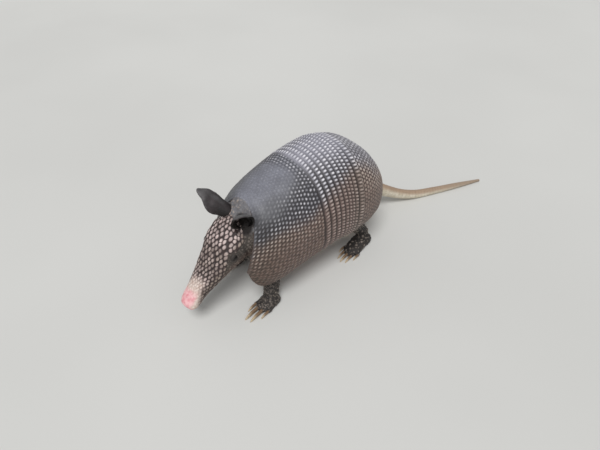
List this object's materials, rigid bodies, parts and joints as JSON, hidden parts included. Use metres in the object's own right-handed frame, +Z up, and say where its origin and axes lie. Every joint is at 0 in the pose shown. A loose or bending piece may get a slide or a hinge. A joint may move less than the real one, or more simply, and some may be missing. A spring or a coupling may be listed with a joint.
{
  "type": "armadillo",
  "caption": "Young banded armadillo standing with its head lowered, shell in two shields with bands between, tall ears, long snout, and a ringed tail along the ground.",
  "frame": {"origin": "on the ground under the middle of the whole animal", "axes": "-Y the way the animal faces, +X its left side, +Z up"},
  "size_m": [0.1146, 0.4028, 0.1305],
  "materials": {
    "shell": "horny plates with a dull sheen",
    "bands": "horny plates with a dull sheen",
    "skin": "matt, wrinkled",
    "head_scales": "horny scales, satin",
    "eyes": "wet gloss",
    "ears": "matt, pebbled",
    "claws": "satin horn",
    "tail": "horny rings, satin"
  },
  "bodies": {
    "root": {"scapular_shield": "shell", "pelvic_shield": "shell", "band_1": "bands", "band_2": "bands", "band_3": "bands", "band_4": "bands", "band_5": "bands", "band_6": "bands", "band_7": "bands", "band_8": "bands", "band_9": "bands", "trunk": "skin", "neck": "skin", "head": "skin", "head_shield": "head_scales", "eye_left": "eyes", "ear_left": "ears", "foreleg_left": "skin", "forefoot_left": "skin", "claw_fore_left_1": "claws", "claw_fore_left_2": "claws", "claw_fore_left_3": "claws", "claw_fore_left_4": "claws", "hindleg_left": "skin", "hindfoot_left": "skin", "claw_hind_left_1": "claws", "claw_hind_left_2": "claws", "claw_hind_left_3": "claws", "claw_hind_left_4": "claws", "claw_hind_left_5": "claws", "eye_right": "eyes", "ear_right": "ears", "foreleg_right": "skin", "forefoot_right": "skin", "claw_fore_right_1": "claws", "claw_fore_right_2": "claws", "claw_fore_right_3": "claws", "claw_fore_right_4": "claws", "hindleg_right": "skin", "hindfoot_right": "skin", "claw_hind_right_1": "claws", "claw_hind_right_2": "claws", "claw_hind_right_3": "claws", "claw_hind_right_4": "claws", "claw_hind_right_5": "claws", "tail_1": "tail", "tail_2": "tail", "tail_3": "tail", "tail_4": "tail", "tail_5": "tail", "tail_6": "tail", "tail_7": "tail", "tail_8": "tail"}
  },
  "joints": []
}
